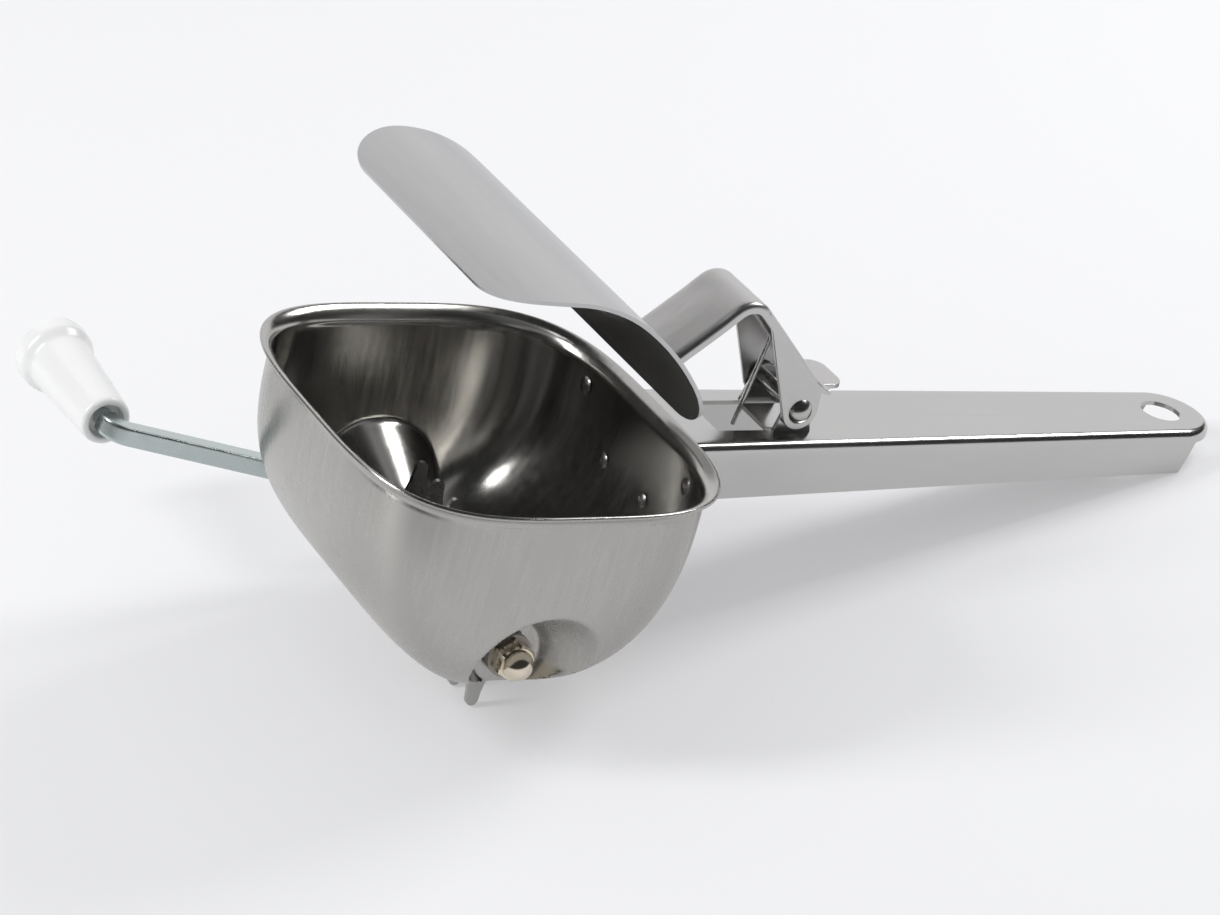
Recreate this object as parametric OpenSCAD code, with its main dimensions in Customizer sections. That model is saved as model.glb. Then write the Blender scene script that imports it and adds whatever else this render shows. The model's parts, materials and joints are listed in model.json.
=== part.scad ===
// Hand-cranked herb mill: a sheet-steel hopper over a rotor of toothed blades, with a sprung pusher.
// Pieces are drawn about the rotor axis: X towards the handle's end, Y along the shaft, Z up.
// The mill then leans as it lies on a table, on its blade tips and on the handle's end.

/* [Hopper] */
// Length of the hopper body along the handle, at its top
hopper_len = 71.4; // [66:0.1:78]
// Width of the hopper body along the shaft, at its top
hopper_wid = 83.2; // [79:0.1:90]
// Depth of the hopper from its rim to its lowest point
hopper_depth = 49.8; // [48.5:0.1:51.5]
// Height of the rim above the shaft
rim_rise = 39; // [38.4:0.1:40]
// How far the hopper's middle lies ahead of the shaft
hopper_shift = -1; // [-2:0.1:1]
// How far the flared rim stands out from the body
lip_out = 2; // [1.2:0.1:2.6]
// Height over which the rim flares out
lip_h = 2.6; // [1.8:0.1:3.2]
// Thickness of the hopper sheet
sheet = 0.8; // [0.6:0.05:1]
// Squareness of the rim corners
rim_power = 3.5; // [3:0.1:4.5]
// Squareness of the corners near the bottom
floor_power = 5; // [4:0.1:5.5]
// How late the long walls turn in
belly_power = 3; // [2.6:0.1:3.4]
// Roundness of the bottom along the handle
belly_round = 1.2; // [1.1:0.05:1.4]
// Share by which the end walls draw in
end_draft = 0.1; // [0.06:0.01:0.14]
// How late the end walls turn in
end_power = 6.4; // [5.8:0.1:7]

/* [Bearing pockets] */
// Distance of the bearing seat's outer face from the middle
seat_y = 24.5; // [24:0.1:26]
// Radius of the flat bearing seat
seat_r = 7; // [6.2:0.1:8]
// Growth of the pocket's radius for each millimetre outwards
pocket_flare = 0.55; // [0.4:0.01:0.65]

/* [Rotor] */
// Number of toothed blades
blade_count = 6; // [3:1:6]
// Distance from blade to blade
blade_pitch = 7.5; // [5:0.1:7.7]
// Middle of the blade set along the shaft
blade_mid = 1.25; // [0:0.05:1.5]
// Thickness of a blade
blade_t = 1; // [0.7:0.05:1.4]
// Number of teeth on a blade
tooth_count = 4; // [3:1:5]
// Reach of a tooth tip from the axis
tip_reach = 16.2; // [15:0.1:16.8]
// Radius of the rounded tooth tip
tip_round = 1.3; // [0.9:0.05:1.7]
// Width of a tooth at its root
tooth_root = 9; // [7:0.1:10]
// How sharply a tooth flares into its root
tooth_flare = 1.8; // [1.3:0.1:2.5]
// Gap on each side of a blade in its hopper slot
slot_gap = 0.6; // [0.4:0.05:0.9]
// Gap between a tooth tip and the end of its slot
slot_end_gap = 0.8; // [0.5:0.05:1.2]
// Outer radius of the collars and spacers
collar_r = 4.2; // [3.8:0.05:4.8]

/* [Shaft and bearings] */
// Radius of the shaft where it turns in the bushes
journal_r = 2.8; // [2.75:0.01:3]
// Side of the square bar that carries the blades and makes the crank
bar_side = 3.9; // [3.5:0.05:3.9]
// Radius of the threaded end under the nut
thread_r = 2; // [1.6:0.05:2.2]
// Outer radius of a bearing bush
bush_r = 4.2; // [3.7:0.05:4.6]
// Radius of the bush flange inside the hopper
bush_flange_r = 5.4; // [5:0.05:5.8]
// Thickness of the bush flange
bush_flange_t = 1; // [0.7:0.05:1.3]
// How far a bush stands out of its seat
bush_out = 1.2; // [0.8:0.05:1.6]
// Running clearance of the shaft in a bush, on the radius
run_gap = 0.05; // [0.02:0.01:0.09]
// Clearance between pieces that are pushed together
slip_gap = 0.04; // [0.02:0.01:0.08]
// End play of the rotor at each bush
end_play = 0.1; // [0.05:0.01:0.2]
// Radius of the washer under the nut
washer_r = 4.6; // [4.2:0.05:5]
// Thickness of that washer
washer_t = 1; // [0.6:0.05:1.4]
// Width of the nut across its flats
nut_flats = 7; // [6.5:0.05:8]
// Height of the nut's hexagon
nut_h = 3.2; // [2.6:0.1:4]
// Radius of the nut's dome
nut_dome = 3.1; // [2.7:0.05:3.3]

/* [Crank] */
// Distance from the shaft to the grip
crank_reach = 51.7; // [48:0.1:66]
// Angle of the crank above the hopper's level
crank_lift = 8; // [0:0.1:30]
// Angle at which the crank arm leans out from the hopper
crank_slope = 13.5; // [4:0.5:14]
// Gap between the crank arm and the rim
crank_gap = 2; // [2:0.1:3]
// Middle radius of the bar's bends
bend_r = 4; // [3:0.1:6]
// Radius of the grip pin
pin_r = 1.9; // [1.6:0.05:1.95]

/* [Grip] */
// Length of the grip
grip_len = 31.4; // [24:0.1:38]
// Radius of the grip beside the crank
grip_near_r = 5.1; // [4.8:0.05:5.8]
// Radius of the grip before its flange
grip_far_r = 6.4; // [5.9:0.05:7]
// Radius of the grip's end flange
grip_flange_r = 7.7; // [7.2:0.05:8.5]
// Width of the end flange
grip_flange_t = 5; // [3.5:0.1:6]
// Depth of the hollows in the grip's two ends
grip_hollow = 2.6; // [2:0.1:3.4]
// Radius of those hollows
grip_hollow_r = 3.6; // [3.2:0.05:4]
// Gap between the crank's bend and the grip
grip_gap = 0.5; // [0.3:0.05:1]
// Thickness of the washer that keeps the grip on
keeper_t = 0.8; // [0.5:0.05:1.1]
// Gap between that washer and the hollow around it
keeper_gap = 0.3; // [0.2:0.05:0.6]
// How far the pin stands out of that washer
pin_out = 0.6; // [0.3:0.05:0.8]

/* [Handle] */
// Height of the handle's top above the shaft
handle_rise = 36.3; // [36:0.1:37.2]
// Distance of the handle's end from the shaft
handle_end = 170.8; // [150:0.1:190]
// Width of the handle at the hopper
handle_wid = 25.4; // [24.6:0.1:28]
// Width of the handle at its end
handle_end_wid = 19.2; // [17:0.1:22]
// Thickness of the handle sheet
handle_sheet = 0.9; // [0.7:0.05:1.2]
// Depth of the side skirts at the hopper
skirt_h = 11.9; // [10.5:0.1:13]
// Depth of the side skirts at the far end
skirt_end_h = 9.5; // [8:0.1:11]
// Distance from the handle's end back to the skirt's end
skirt_stop = 9.6; // [8:0.1:12]
// Slant of the skirt's end
skirt_slant = 2.5; // [1.5:0.1:4]
// Depth of the turned-down lip around the end
end_lip = 2.5; // [1.8:0.1:3.5]
// Radius of the hanging hole
hang_r = 4.4; // [3.5:0.05:5]
// Distance of the hanging hole from the handle's end
hang_inset = 10.8; // [9.5:0.1:13]
// Gap between the handle's top and the flared rim
handle_gap = 0.25; // [0.15:0.05:0.5]
// Lower edge of the flange against the hopper, above the shaft
flange_low = 19.3; // [18:0.1:20]
// Distance of the upper rivets below the flange's top edge
rivet_drop = 3.4; // [3.2:0.1:5]
// Distance of the two upper rivets from the middle
rivet_high_y = 21; // [18:0.1:22]
// Sheet left around a rivet head on that flange
rivet_edge = 0.9; // [0.5:0.1:1.2]
// Distance of the two lower rivets from the middle
rivet_low_y = 8.1; // [6:0.1:9.4]
// Radius of the rivets through the hopper wall
rivet_r = 1.3; // [1.1:0.05:1.5]
// Radius of the rivet heads
rivet_head_r = 1.9; // [1.7:0.05:2.2]
// Height of the rivet heads
rivet_head_h = 0.5; // [0.4:0.05:0.8]

/* [Pusher hinge] */
// Distance of the hinge pin from the shaft
hinge_x = 63.7; // [62.5:0.1:65]
// Height of the hinge pin above the handle
hinge_up = 5; // [4.8:0.1:5.6]
// Radius of the hinge pin
hinge_r = 1.5; // [1.2:0.05:1.7]
// Radius of the domed pin head
hinge_head_r = 2.6; // [2.3:0.05:3]
// Height of the domed pin head
hinge_head_h = 1.5; // [1.1:0.05:2]
// Radius of the pin's peened far end
peen_r = 2.3; // [1.9:0.05:2.6]
// Height of the peened far end
peen_h = 1; // [0.7:0.05:1.4]
// Radius of the rounded ear tops
ear_r = 3.2; // [2.8:0.05:3.4]
// Length of an ear's foot along the handle
ear_foot = 9; // [8:0.1:10]
// Gap between an ear and the arm beside it
ear_gap = 0.25; // [0.15:0.01:0.35]
// How far the tongue between the ears reaches towards the hopper, from the hinge
tongue_reach = 4.7; // [3:0.1:6]
// Half width of the tongue between the ears
tongue_half = 5; // [4:0.1:5.6]
// Length of the cut-out ahead of the ears
cutout_len = 12; // [10:0.1:14]

/* [Pusher arm] */
// Width of the pusher arm
arm_wid = 16.5; // [15.5:0.1:18]
// Thickness of the arm sheet
arm_sheet = 0.9; // [0.7:0.05:1]
// Length of the arm's root on the plate, above its rivets
arm_root = 3.4; // [3:0.1:4.4]
// Length of the arm's root below its rivets
arm_drop = 3.7; // [3.5:0.1:4.2]
// Distance of the rivets from the plate's lower edge, along its curve
arm_root_back = 3.6; // [3.2:0.1:4]
// Radius of the bend at the arm's root
arm_root_bend = 2.2; // [1.8:0.1:2.6]
// Climb angle of the arm from the plate to its arch
arm_climb = 41; // [39:0.5:44]
// Length of the climbing run
arm_run = 19.8; // [19.2:0.1:20.6]
// Radius of the arch
arch_bend = 5; // [4.5:0.1:5.6]
// Fall angle of the arm's hind leg
arm_fall = 44.3; // [43:0.1:45.5]
// Length of the hind leg
arm_leg = 23.8; // [23:0.1:24.6]
// Radius of the bend into the thumb tab
tab_bend = 2.5; // [2:0.1:3.5]
// Length of the thumb tab
tab_len = 5.3; // [4.6:0.1:7]
// Width of the thumb tab
tab_wid = 11; // [8:0.1:14]
// Radius of the thumb tab's corners
tab_corner = 3; // [2:0.1:3.8]
// Depth of the turned-down edges of the climbing run
arm_edge = 1.6; // [1.2:0.1:1.9]
// Radius of the arm's cheeks round the hinge pin
cheek_r = 3.9; // [3.6:0.05:4.1]
// Radius of the rivets in the arm's root
arm_rivet_r = 1.2; // [0.9:0.05:1.4]
// Radius of their heads
arm_rivet_head_r = 2.1; // [1.8:0.05:2.4]
// Height of their heads
arm_rivet_head_h = 0.7; // [0.5:0.05:1]
// Distance of each rivet from the middle
arm_rivet_y = 4.1; // [3:0.1:5]
// Depth of the flush, flared rivet ends in the plate
rivet_sink = 0.4; // [0.2:0.05:0.5]

/* [Pusher plate] */
// Half length of the plate along the shaft
plate_half = 37.8; // [30:0.1:38.2]
// Thickness of the plate
plate_t = 0.8; // [0.6:0.05:1]
// How far the plate reaches past the shaft, away from the handle
plate_over = 25.2; // [24:0.1:26.4]
// Height of the plate's left end above the shaft
plate_top = 76.1; // [75:0.1:77.5]
// Upward slope of the plate at its left end, in degrees
plate_rise = 23.9; // [22:0.1:26]
// Radius of the plate's upper curve
plate_bend = 31.2; // [30.4:0.1:32]
// Angle that the upper curve covers
plate_turn = 57.1; // [55:0.1:59]
// Radius of the plate's wider lower curve
tail_bend = 54; // [52:0.1:56]
// Angle that the lower curve covers
tail_turn = 33.1; // [31:0.1:35]
// Radius of the plate's rounded corners
plate_corner = 14.5; // [8:0.1:18]

/* [Return spring] */
// Radius of the spring wire
wire_r = 0.5; // [0.4:0.02:0.6]
// Gap between the wire and the arm above it
wire_gap = 0.2; // [0.1:0.02:0.3]
// Length of wire that lies under the climbing run
wire_hook = 5; // [4:0.1:7]
// Length of wire that lies under the hind leg
wire_under_leg = 10.5; // [9.5:0.1:11.2]
// Radius of the wire's return bend
wire_bend = 2.2; // [1.8:0.1:2.6]
// Lean of the wire's straight run from upright
wire_lean = 9.6; // [8:0.1:12]
// Length of the wire's straight run
wire_run = 18.5; // [17.5:0.1:19.5]

/* [Hidden] */
$fn = 48;

// Colours
steel = "#c9c9c6";
satin = "#b9bab8";
nickel = "#d8cfc0";
zinc = "#cfdcd8";
white = "#f4f4f2";

// Small overlap for cuts, and the count of steps in drawn curves
cut = 1;
around = 48;
levels = 12;
curve_step = 6;
edge_angle = 20;

// Hopper surface: level 0 is the rim plane and 1 is the lowest point
function half_len(u, inset) =
    (hopper_len / 2 - inset) * pow(max(0, 1 - pow(u, belly_power)), 1 / belly_round);
function half_wid(u, inset) =
    (hopper_wid / 2 - inset) * (1 - end_draft * u) * sqrt(max(0, 1 - pow(u, end_power)));
function corner_power(u) = rim_power + (floor_power - rim_power) * u;
function signed_pow(v, p) = sign(v) * pow(abs(v), p);
function ring(z, len, wid, power) = [for (i = [0:around - 1])
    let (a = 360 * i / around)
    [hopper_shift + len * signed_pow(cos(a), 2 / power), wid * signed_pow(sin(a), 2 / power), z]];
function body_level(k) = 1 - pow(1 - k / levels, 1.5);

// Wall of the hopper at a height, on the handle's side
function wall_x(y, z, inset) =
    let (u = (rim_rise - z) / (hopper_depth - inset), n = corner_power(u))
    hopper_shift + half_len(u, inset) * pow(1 - pow(abs(y) / half_wid(u, inset), n), 1 / n);

// Rim: part of an ellipse from the upright wall out to the sheet's edge
rim_len = hopper_len / 2 + lip_out;
rim_wid = hopper_wid / 2 + lip_out;
flare_long = lip_out / (1 - sin(edge_angle));
flare_high = lip_h / cos(edge_angle);
neck_z = rim_rise - sheet - lip_h;
function flare_out(a) = flare_long * (1 - sin(a));
function flare_ring(a, inset) =
    let (way = [flare_high * sin(a), flare_long * cos(a)],
        side = inset * way / norm(way),
        out = flare_out(a) - side[0])
    ring(neck_z + flare_high * cos(a) + side[1], hopper_len / 2 + out, hopper_wid / 2 + out, rim_power);

// Rotor positions along the shaft
seat_in = seat_y - sheet;
bush_in = seat_in - bush_flange_t;
bush_end = seat_y + bush_out;
rotor_end = bush_in - end_play;
washer_in = bush_end + end_play / 2;
nut_in = washer_in + washer_t;
nut_face = nut_in + nut_h;
square_hole = bar_side + 2 * slip_gap;
bore_r = journal_r + run_gap;
function blade_y(i) = blade_mid + (i - (blade_count - 1) / 2) * blade_pitch;
root_reach = tooth_root / 2 / tan(180 / tooth_count) + tip_round / 3;
flank_steps = 6;

// Crank
function arm_y(reach) =
    rim_wid + crank_gap + bar_side / 2 / cos(crank_slope) + (reach - rim_rise) * tan(crank_slope);
bend_x = bend_r * (1 - sin(crank_slope));
bend_y = bend_r * cos(crank_slope);
bend_start = arm_y(bend_x) - bend_y;
bend_end = arm_y(crank_reach - bend_x) + bend_y;
grip_x = -crank_reach * cos(crank_lift);
grip_z = crank_reach * sin(crank_lift);
grip_y = bend_end + grip_gap;
grip_end = grip_y + grip_len;
keeper_y = grip_end - grip_hollow + slip_gap;

// Handle
flange_x = hopper_shift + hopper_len / 2 + 2 * slip_gap;
lip_angle = acos(min(cos(edge_angle), max(0, handle_rise - neck_z) / flare_high));
handle_x = flange_x + flare_out(lip_angle) + handle_gap;
end_r = handle_end_wid / 2;
end_centre = handle_end - end_r;
skirt_x = handle_end - skirt_stop;
skirt_z = handle_rise - skirt_end_h;
hang_x = handle_end - hang_inset;
flange_top = min(neck_z, handle_rise - handle_sheet / 2);
rivet_high_z = flange_top - rivet_drop;
rivet_low_z = flange_low + rivet_head_r + rivet_edge;
flange_half = rivet_high_y + rivet_head_r + rivet_edge;
rivet_places = [[-rivet_high_y, rivet_high_z], [rivet_high_y, rivet_high_z],
    [-rivet_low_y, rivet_low_z], [rivet_low_y, rivet_low_z]];

// Hinge and arm, across the handle
hinge_z = handle_rise + hinge_up;
cheek_in = arm_wid / 2 - arm_sheet;
ear_out = cheek_in - ear_gap;
ear_in = ear_out - handle_sheet;
cutout_end = hinge_x + ear_foot / 2;
cutout_start = hinge_x - ear_foot / 2 - cutout_len;
tongue_x = hinge_x - tongue_reach;

// Lean of the mill as it lies: blade tips and skirt ends touch the table together
tip_centre = tip_reach - tip_round;
lean_reach = norm([skirt_x, skirt_z + tip_centre]);
rest_lean = acos(-tip_round / lean_reach) - atan2(skirt_x, skirt_z + tip_centre);
function lie_x(x, z) = x * cos(rest_lean) + z * sin(rest_lean);
rest_low = -tip_centre * cos(rest_lean) - tip_round;
low_x = lie_x(grip_x, grip_z) - grip_flange_r;
high_x = lie_x(handle_end, handle_rise);
middle = [(low_x + high_x) / 2, (grip_end - rim_wid) / 2, rest_low];

// A path is a list of [x, z, heading]; runs and bends extend it
function step_on(p, len) = [p[0] + len * cos(p[2]), p[1] + len * sin(p[2]), p[2]];
function run(path, len) = concat(path, [step_on(path[len(path) - 1], len)]);
function bend(path, r, turn) =
    let (p = path[len(path) - 1], side = sign(turn), n = ceil(abs(turn) / curve_step))
    concat(path, [for (i = [1:n])
        let (h = p[2] + turn * i / n)
        [p[0] + side * r * (sin(h) - sin(p[2])), p[1] - side * r * (cos(h) - cos(p[2])), h]]);
function beside(path, off) = [for (p = path) [p[0] - off * sin(p[2]), p[1] + off * cos(p[2])]];
function back(list) = [for (i = [len(list) - 1:-1:0]) list[i]];

// Middle line of the square bar outside the hopper, in plan: shaft, bend, sloping arm, bend
crank_turn = 90 - crank_slope;
crank_root = run([[0, bush_end, 90]], bend_start - bush_end);
crank_out = run(bend(crank_root, bend_r, -crank_turn), (crank_reach - 2 * bend_x) / cos(crank_slope));
crank_path = bend(crank_out, bend_r, crank_turn);

// Middle line of the plate, from its left end over its two curves
plate_left = -plate_over;
plate_upper = bend([[plate_left, plate_top, plate_rise]], plate_bend, -plate_turn);
plate_path = bend(plate_upper, tail_bend, -tail_turn);
plate_tail = plate_path[len(plate_path) - 1];
tail_fall = plate_turn + tail_turn - plate_rise;
tail_centre = [plate_tail[0] - tail_bend * sin(tail_fall), plate_tail[1] - tail_bend * cos(tail_fall)];

// Middle line of the arm, from its root on the plate to the thumb tab
root_turn = tail_fall - arm_root_back / tail_bend * 180 / PI;
root_out = tail_bend + plate_t / 2 + arm_sheet / 2 + slip_gap;
root_mid = [
    tail_centre[0] + root_out * sin(root_turn),
    tail_centre[1] + root_out * cos(root_turn),
    -root_turn];
root_low = -arm_sheet / 2 - slip_gap - plate_t;
arm_start = run([step_on(root_mid, -arm_root)], arm_root + arm_drop);
arm_foot = bend(arm_start, arm_root_bend, root_turn + arm_climb);
arm_climbed = run(arm_foot, arm_run);
arm_arched = bend(arm_climbed, arch_bend, -(arm_climb + arm_fall));
arm_down = run(arm_arched, arm_leg);
tab_root = bend(arm_down, tab_bend, arm_fall);
arm_path = run(tab_root, tab_len);
tab_end = arm_path[len(arm_path) - 1];
run_path = [for (i = [len(arm_foot) - 1:len(arm_arched) - 1]) arm_path[i]];
leg_top = arm_arched[len(arm_arched) - 1];
leg_foot = arm_down[len(arm_down) - 1];

// Middle line of the spring wire: under the arch, back under itself and down into the handle
wire_off = -(arm_sheet / 2 + wire_gap + wire_r);
hook_at = step_on(arm_climbed[len(arm_climbed) - 1], -wire_hook);
hook_pos = beside([hook_at], wire_off)[0];
wire_path = run(bend(run(bend(run([[hook_pos[0], hook_pos[1], arm_climb]], wire_hook),
    arch_bend + wire_off, -(arm_climb + arm_fall)), wire_under_leg),
    wire_bend, -(90 + wire_lean - arm_fall)), wire_run);

// Lays a piece down as the mill lies, with the origin under the middle of its box
module lie() {
    translate(-middle)
        rotate([0, rest_lean, 0])
            children();
}

// Stands a drawing in the X and Z plane, with its thickness along the shaft
module upright(width) {
    rotate([90, 0, 0])
        linear_extrude(height = width, center = true)
            children();
}

// A strip of sheet along a path, between two distances from the path's line
module strip(path, low, high) {
    polygon(concat(beside(path, low), back(beside(path, high))));
}

// A round bar along the shaft's direction
module bar_y(r, from, to) {
    translate([0, from, 0])
        rotate([-90, 0, 0])
            cylinder(r = r, h = to - from);
}

// A square bar along the shaft's direction
module square_y(side, from, to) {
    translate([-side / 2, from, -side / 2])
        cube([side, to - from, side]);
}

// A closed bowl through rings, ending in one point below
module bowl(rings, low) {
    count = len(rings);
    points = concat([for (r = rings) each r], [[hopper_shift, 0, low]]);
    sides = [for (k = [0:count - 2], i = [0:around - 1])
        let (j = (i + 1) % around, a = k * around)
        each [[a + i, a + j, a + around + j], [a + i, a + around + j, a + around + i]]];
    tip = [for (i = [0:around - 1])
        [(count - 1) * around + i, (count - 1) * around + (i + 1) % around, count * around]];
    polyhedron(points, concat([[for (i = [around - 1:-1:0]) i]], sides, tip));
}

// The outer or inner side of the hopper: sheet edge, flared rim and drawn body
module hopper_form(inset, rise) {
    depth = hopper_depth - inset;
    edge = flare_ring(edge_angle, inset);
    bowl(concat(
        [[for (p = edge) [p[0], p[1], rim_rise + rise]]],
        [edge],
        [for (a = [40, 62]) flare_ring(a, inset)],
        [for (k = [0:levels - 1])
            let (low = (rim_rise - neck_z) / depth, u = low + (1 - low) * body_level(k))
            ring(rim_rise - u * depth, half_len(u, inset), half_wid(u, inset), corner_power(u))]),
        rim_rise - depth);
}

// The cone that presses a bearing pocket into an end wall
module pocket(side, grow) {
    length = rim_wid - seat_y + cut;
    rise = grow * sqrt(1 + pow(pocket_flare, 2)) - grow * pocket_flare;
    rotate([-90 * side, 0, 0])
        translate([0, 0, seat_y - grow])
            cylinder(r1 = seat_r + rise,
                r2 = seat_r + rise + pocket_flare * (length + grow),
                h = length + grow);
}

// Hopper with slotted bottom, bearing pockets and rivet holes
module hopper() {
    color(steel)
        difference() {
            hopper_form(0, 0);
            difference() {
                hopper_form(sheet, cut);
                for (side = [-1, 1])
                    pocket(side, sheet);
            }
            for (side = [-1, 1])
                pocket(side, 0);
            bar_y(bush_r + slip_gap, -seat_y - cut, seat_y + cut);
            for (i = [0:blade_count - 1])
                translate([0, blade_y(i), 0])
                    bar_y(tip_reach + slot_end_gap, -blade_t / 2 - slot_gap, blade_t / 2 + slot_gap);
            rivet_bars(rivet_r + slip_gap, 0);
        }
}

// Straight bars through the hopper wall at the rivets' places
module rivet_bars(r, spare) {
    for (p = rivet_places) {
        from = wall_x(p[0], p[1], sheet) - cut;
        translate([from, p[0], p[1]])
            rotate([0, 90, 0])
                cylinder(r = r, h = flange_x + handle_sheet + spare - from);
    }
}

// Plan of the handle: tapering sides and a round end
module handle_plan(inset, start) {
    polygon([[start, -handle_wid / 2 + inset], [end_centre, -end_r + inset],
        [end_centre, end_r - inset], [start, handle_wid / 2 - inset]]);
    translate([end_centre, 0])
        circle(r = end_r - inset, $fn = 72);
}

// Side view of the handle: deep skirts, a slanted skirt end and a shallow end lip
module handle_side() {
    polygon([[handle_x, handle_rise], [handle_end + cut, handle_rise],
        [handle_end + cut, handle_rise - end_lip], [skirt_x + skirt_slant, handle_rise - end_lip],
        [skirt_x, skirt_z], [flange_x, handle_rise - skirt_h],
        [flange_x, flange_top], [handle_x, flange_top]]);
}

// One ear that carries the hinge pin
module ear() {
    difference() {
        union() {
            polygon([[hinge_x - ear_foot / 2, handle_rise - handle_sheet],
                [hinge_x + ear_foot / 2, handle_rise - handle_sheet],
                [hinge_x + ear_r, hinge_z], [hinge_x - ear_r, hinge_z]]);
            translate([hinge_x, hinge_z])
                circle(r = ear_r);
        }
        translate([hinge_x, hinge_z])
            circle(r = hinge_r + slip_gap / 2);
    }
}

// Handle: pressed channel with hopper flange, cut-out, ears and hanging hole
module handle() {
    color(steel) {
        difference() {
            intersection() {
                upright(2 * handle_wid)
                    handle_side();
                difference() {
                    translate([0, 0, handle_rise - skirt_h - cut])
                        linear_extrude(height = skirt_h + cut)
                            handle_plan(0, flange_x);
                    translate([0, 0, handle_rise - skirt_h - 2 * cut])
                        linear_extrude(height = skirt_h + 2 * cut - handle_sheet)
                            handle_plan(handle_sheet, flange_x - cut);
                }
            }
            translate([hang_x, 0, handle_rise - handle_sheet - cut])
                cylinder(r = hang_r, h = handle_sheet + 2 * cut);
            translate([cutout_start, -ear_in, handle_rise - handle_sheet - cut])
                cube([tongue_x - cutout_start, 2 * ear_in, handle_sheet + 2 * cut]);
            for (side = [-1, 1])
                translate([tongue_x - cut, side * (ear_in + tongue_half) / 2, handle_rise])
                    upright(ear_in - tongue_half)
                        translate([0, -handle_sheet - cut])
                            square([cutout_end - tongue_x + cut, handle_sheet + 2 * cut]);
        }
        for (side = [-1, 1])
            translate([0, side * (ear_in + handle_sheet / 2), 0])
                upright(handle_sheet)
                    ear();
        difference() {
            translate([flange_x, -flange_half, flange_low])
                cube([handle_sheet, 2 * flange_half, flange_top - flange_low]);
            rivet_bars(rivet_r + slip_gap, cut);
        }
    }
}

// A domed head on the end of a pin, with its flat side at zero
module dome(r, h) {
    ball = (r * r + h * h) / (2 * h);
    rotate_extrude()
        intersection() {
            translate([0, h - ball])
                circle(r = ball, $fn = 96);
            square([r, h]);
        }
}

// Rivets that join the handle to the hopper wall
module handle_rivets() {
    color(steel)
        for (p = rivet_places) {
            from = wall_x(p[0], p[1], sheet);
            to = flange_x + handle_sheet;
            translate([from, p[0], p[1]])
                rotate([0, 90, 0]) {
                    cylinder(r = rivet_r, h = to - from);
                    mirror([0, 0, 1])
                        dome(rivet_head_r, rivet_head_h);
                    translate([0, 0, to - from])
                        dome(rivet_head_r, rivet_head_h);
                }
        }
}

// A flanged bearing bush; the flange lies inside the hopper
module bush(side) {
    color("#a9a49a")
        mirror([0, side < 0 ? 1 : 0, 0])
            difference() {
                union() {
                    bar_y(bush_r, bush_in, bush_end);
                    bar_y(bush_flange_r, bush_in, seat_in);
                }
                bar_y(bore_r, bush_in - cut, bush_end + cut);
            }
}

module front_bush() {
    bush(-1);
}

module rear_bush() {
    bush(1);
}

// Hinge pin: a long rivet with a domed head on the near side
module hinge_pin() {
    out = arm_wid / 2 + slip_gap;
    color(steel)
        translate([hinge_x, 0, hinge_z]) {
            bar_y(hinge_r, -out - cut / 2, out + cut / 2);
            translate([0, -out, 0])
                rotate([90, 0, 0])
                    dome(hinge_head_r, hinge_head_h);
            translate([0, out, 0])
                rotate([-90, 0, 0])
                    dome(peen_r, peen_h);
        }
}

// Return spring: one bent wire, swept as a tube along its path
module return_spring() {
    sides = 8;
    count = len(wire_path);
    points = [for (p = wire_path, i = [0:sides - 1])
        let (off = wire_r * cos(360 * i / sides))
        [p[0] - off * sin(p[2]), wire_r * sin(360 * i / sides), p[1] + off * cos(p[2])]];
    skin = [for (k = [0:count - 2], i = [0:sides - 1])
        let (j = (i + 1) % sides, a = k * sides)
        each [[a + i, a + j, a + sides + j], [a + i, a + sides + j, a + sides + i]]];
    caps = [[for (i = [sides - 1:-1:0]) i], [for (i = [0:sides - 1]) (count - 1) * sides + i]];
    color("#8f9190")
        polyhedron(points, concat(skin, caps));
}

// Crank: one bar with journals, square rotor seat, thread, arm and grip pin
module crank() {
    color(zinc)
        rotate([0, 180 + crank_lift, 0]) {
            bar_y(thread_r, -nut_face - nut_dome / 2, -washer_in);
            bar_y(journal_r, -washer_in, -rotor_end);
            square_y(bar_side, -rotor_end, rotor_end);
            bar_y(journal_r, rotor_end, bush_end + end_play);
            translate([0, 0, -bar_side / 2])
                linear_extrude(height = bar_side)
                    strip(crank_path, -bar_side / 2, bar_side / 2);
            translate([crank_reach, 0, 0])
                bar_y(pin_r, bend_end - slip_gap * 5, keeper_y + keeper_t + pin_out);
        }
}

// Outline of one tooth: flaring flanks that end in a round tip
function flank(side) = [for (i = [0:flank_steps])
    let (s = i / flank_steps)
    [side * (tip_round + (tooth_root / 2 - tip_round) * pow(s, tooth_flare)),
        tip_centre + (root_reach - tip_centre) * s]];
function tooth() = concat(back(flank(-1)),
    [for (a = [150:-30:30]) [tip_round * cos(a), tip_centre + tip_round * sin(a)]], flank(1));
function turned(list, a) = [for (p = list) [p[0] * cos(a) + p[1] * sin(a), p[1] * cos(a) - p[0] * sin(a)]];

// A toothed blade on the square bar, with one tooth straight down
module blade(i) {
    color(satin)
        translate([0, blade_y(i), 0])
            upright(blade_t)
                difference() {
                    polygon([for (k = [0:tooth_count - 1])
                        each turned(tooth(), 180 + 360 * k / tooth_count)]);
                    rotate(-crank_lift)
                        square(square_hole, center = true);
                }
}

// A tube with a square hole on the bar, between two places along the shaft
module sleeve(from, to) {
    color("#a3a5a4")
        difference() {
            bar_y(collar_r, from, to);
            rotate([0, crank_lift, 0])
                square_y(square_hole, from - cut, to + cut);
        }
}

module spacer(i) {
    sleeve(blade_y(i) + blade_t / 2, blade_y(i + 1) - blade_t / 2);
}

module front_collar() {
    sleeve(-rotor_end, blade_y(0) - blade_t / 2);
}

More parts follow.
